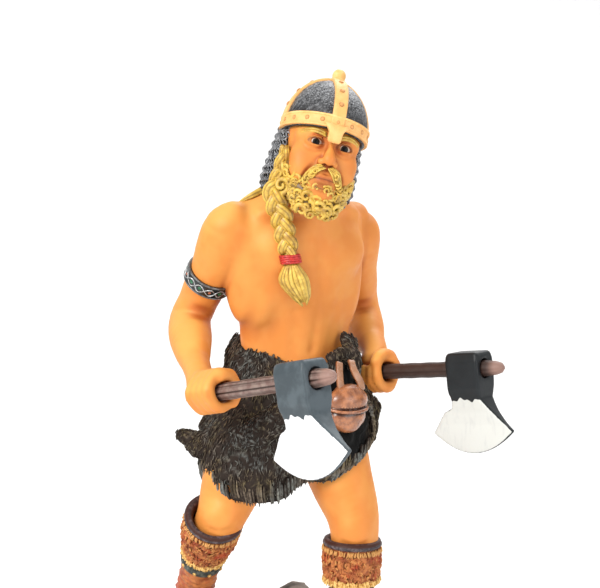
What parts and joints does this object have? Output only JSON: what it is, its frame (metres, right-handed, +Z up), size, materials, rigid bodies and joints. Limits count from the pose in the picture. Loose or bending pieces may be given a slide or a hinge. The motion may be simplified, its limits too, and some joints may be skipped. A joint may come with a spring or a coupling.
{
  "type": "viking warrior figurine",
  "caption": "Painted resin figurine of a bearded Norse warrior in a banded helmet and fur kilt, striding over rocks with an axe held out in each fist.",
  "frame": {"origin": "centre of the rock base's flat underside", "axes": "+Z up, -Y the side the warrior faces, +X the side of the warrior's left hand"},
  "size_m": [0.1288, 0.1301, 0.2328],
  "materials": {
    "figure_paint": "cast resin painted in satin skin, steel, gold, fur and leather colours",
    "axe_paint": "cast resin painted slate, silver and wood brown",
    "rock_paint": "cast resin painted as matt grey-brown rock"
  },
  "bodies": {
    "root": {"warrior_figure": "figure_paint", "right_hand_axe": "axe_paint", "left_hand_axe": "axe_paint", "rock_base": "rock_paint"}
  },
  "joints": []
}
